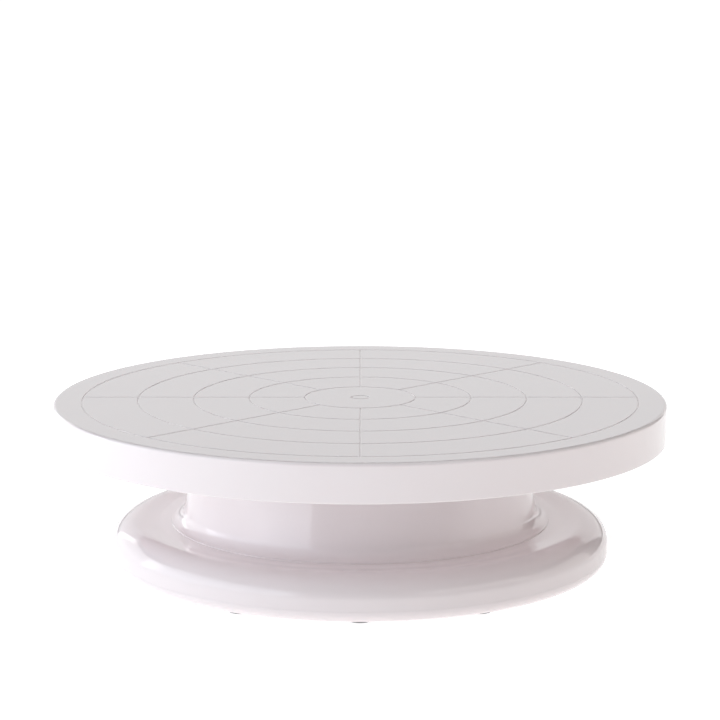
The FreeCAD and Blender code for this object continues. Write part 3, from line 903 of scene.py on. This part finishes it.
def painted_light_floor_material():
    g = Graph("pale_floor_painted_light")
    cloud = g.noise(0.8, 3.0)
    # painted light: the floor glows, and glows less near the turntable as a painted shadow round its
    # foot
    painted_glow = g.remap(g.radius(), FLOOR_GLOW_START, FLOOR_GLOW_END, FLOOR_PAINTED_SHADE_GLOW_NEAR, FLOOR_PAINTED_GLOW_FAR)
    g.set(
        Base_Color=g.blend(cloud, (0.60, 0.60, 0.60, 1), (0.64, 0.64, 0.64, 1)),
        Roughness=g.remap(g.noise(60.0), 0.3, 0.7, 0.55, 0.7), Specular_IOR_Level=0.15,
        Emission_Color=(1.0, 1.0, 1.0, 1.0), Emission_Strength=painted_glow)
    return g.material


floor = turned("floor", [(radius, 0.0) for radius in FLOOR_RADII], columns=96, closed=False)
floor.data.materials.append(painted_light_floor_material())

# ---- light ---------------------------------------------------------------------------------------
COOL = (0.93, 1.0, 1.08)
WARM = (1.04, 1.0, 0.96)
WORLD_STRENGTH = 0.05
AIM = Vector((0.0, 0.0, 0.05))

scene = bpy.context.scene
world = bpy.data.worlds.new("studio")
scene.world = world
world.use_nodes = True
world.node_tree.nodes["Background"].inputs["Color"].default_value = (1.0, 1.0, 1.0, 1.0)
world.node_tree.nodes["Background"].inputs["Strength"].default_value = WORLD_STRENGTH


def softbox(name, azimuth, elevation, distance, width, height, radiance, colour=(1.0, 1.0, 1.0)):
    """A rectangular light that faces the turntable.

    Angles are in degrees, azimuth from the camera's side and positive to the right; lengths in metres.
    """
    light = bpy.data.lights.new(name, "AREA")
    light.shape = "RECTANGLE"
    light.size = width
    light.size_y = height
    light.energy = radiance * math.pi * width * height
    light.color = colour
    lamp = bpy.data.objects.new(name, light)
    scene.collection.objects.link(lamp)
    side = math.radians(azimuth)
    rise = math.radians(elevation)
    level = math.cos(rise)
    out = Vector((math.sin(side) * level, -math.cos(side) * level, math.sin(rise)))
    lamp.location = AIM + out * distance
    lamp.rotation_mode = "QUATERNION"
    lamp.rotation_quaternion = out.to_track_quat("Z", "Y")
    lamp.visible_camera = False
    return lamp


softbox("left_low_softbox", -72.0, 7.0, 1.7, 3.0, 0.55, 2.3, COOL)
softbox("left_softbox", -72.0, 24.0, 1.7, 3.0, 0.55, 1.9, COOL)
softbox("left_back_softbox", -128.0, 12.0, 1.8, 1.6, 0.8, 1.6)
softbox("right_softbox", 54.0, 24.0, 1.8, 1.68, 0.55, 1.3, WARM)
softbox("right_side_softbox", 100.0, 12.0, 1.8, 1.8, 0.8, 0.9, WARM)
softbox("high_softbox", 0.0, 50.0, 2.0, 2.6, 1.1, 0.10)
softbox("back_softbox", 180.0, 14.0, 2.4, 3.0, 1.0, 1.0)
softbox("top_softbox", 0.0, 86.0, 2.0, 2.2, 2.2, 0.95)

# ---- camera --------------------------------------------------------------------------------------
LOOK_AT = Vector((0.0, 0.0, 0.0933))
CAMERA_DISTANCE = 1.1
CAMERA_ELEVATION = math.radians(10.1)
FOCAL_LENGTH = 120.15         # in millimetres, for a sensor 36 mm wide
lens = bpy.data.cameras.new("camera")
lens.lens = FOCAL_LENGTH
lens.sensor_width = 36.0
lens.clip_start = 0.05
lens.clip_end = 60.0
camera = bpy.data.objects.new("camera", lens)
scene.collection.objects.link(camera)
back = Vector((0.0, -math.cos(CAMERA_ELEVATION), math.sin(CAMERA_ELEVATION)))
camera.location = LOOK_AT + back * CAMERA_DISTANCE
camera.rotation_mode = "QUATERNION"
camera.rotation_quaternion = back.to_track_quat("Z", "Y")
scene.camera = camera
scene.view_settings.view_transform = "Standard"
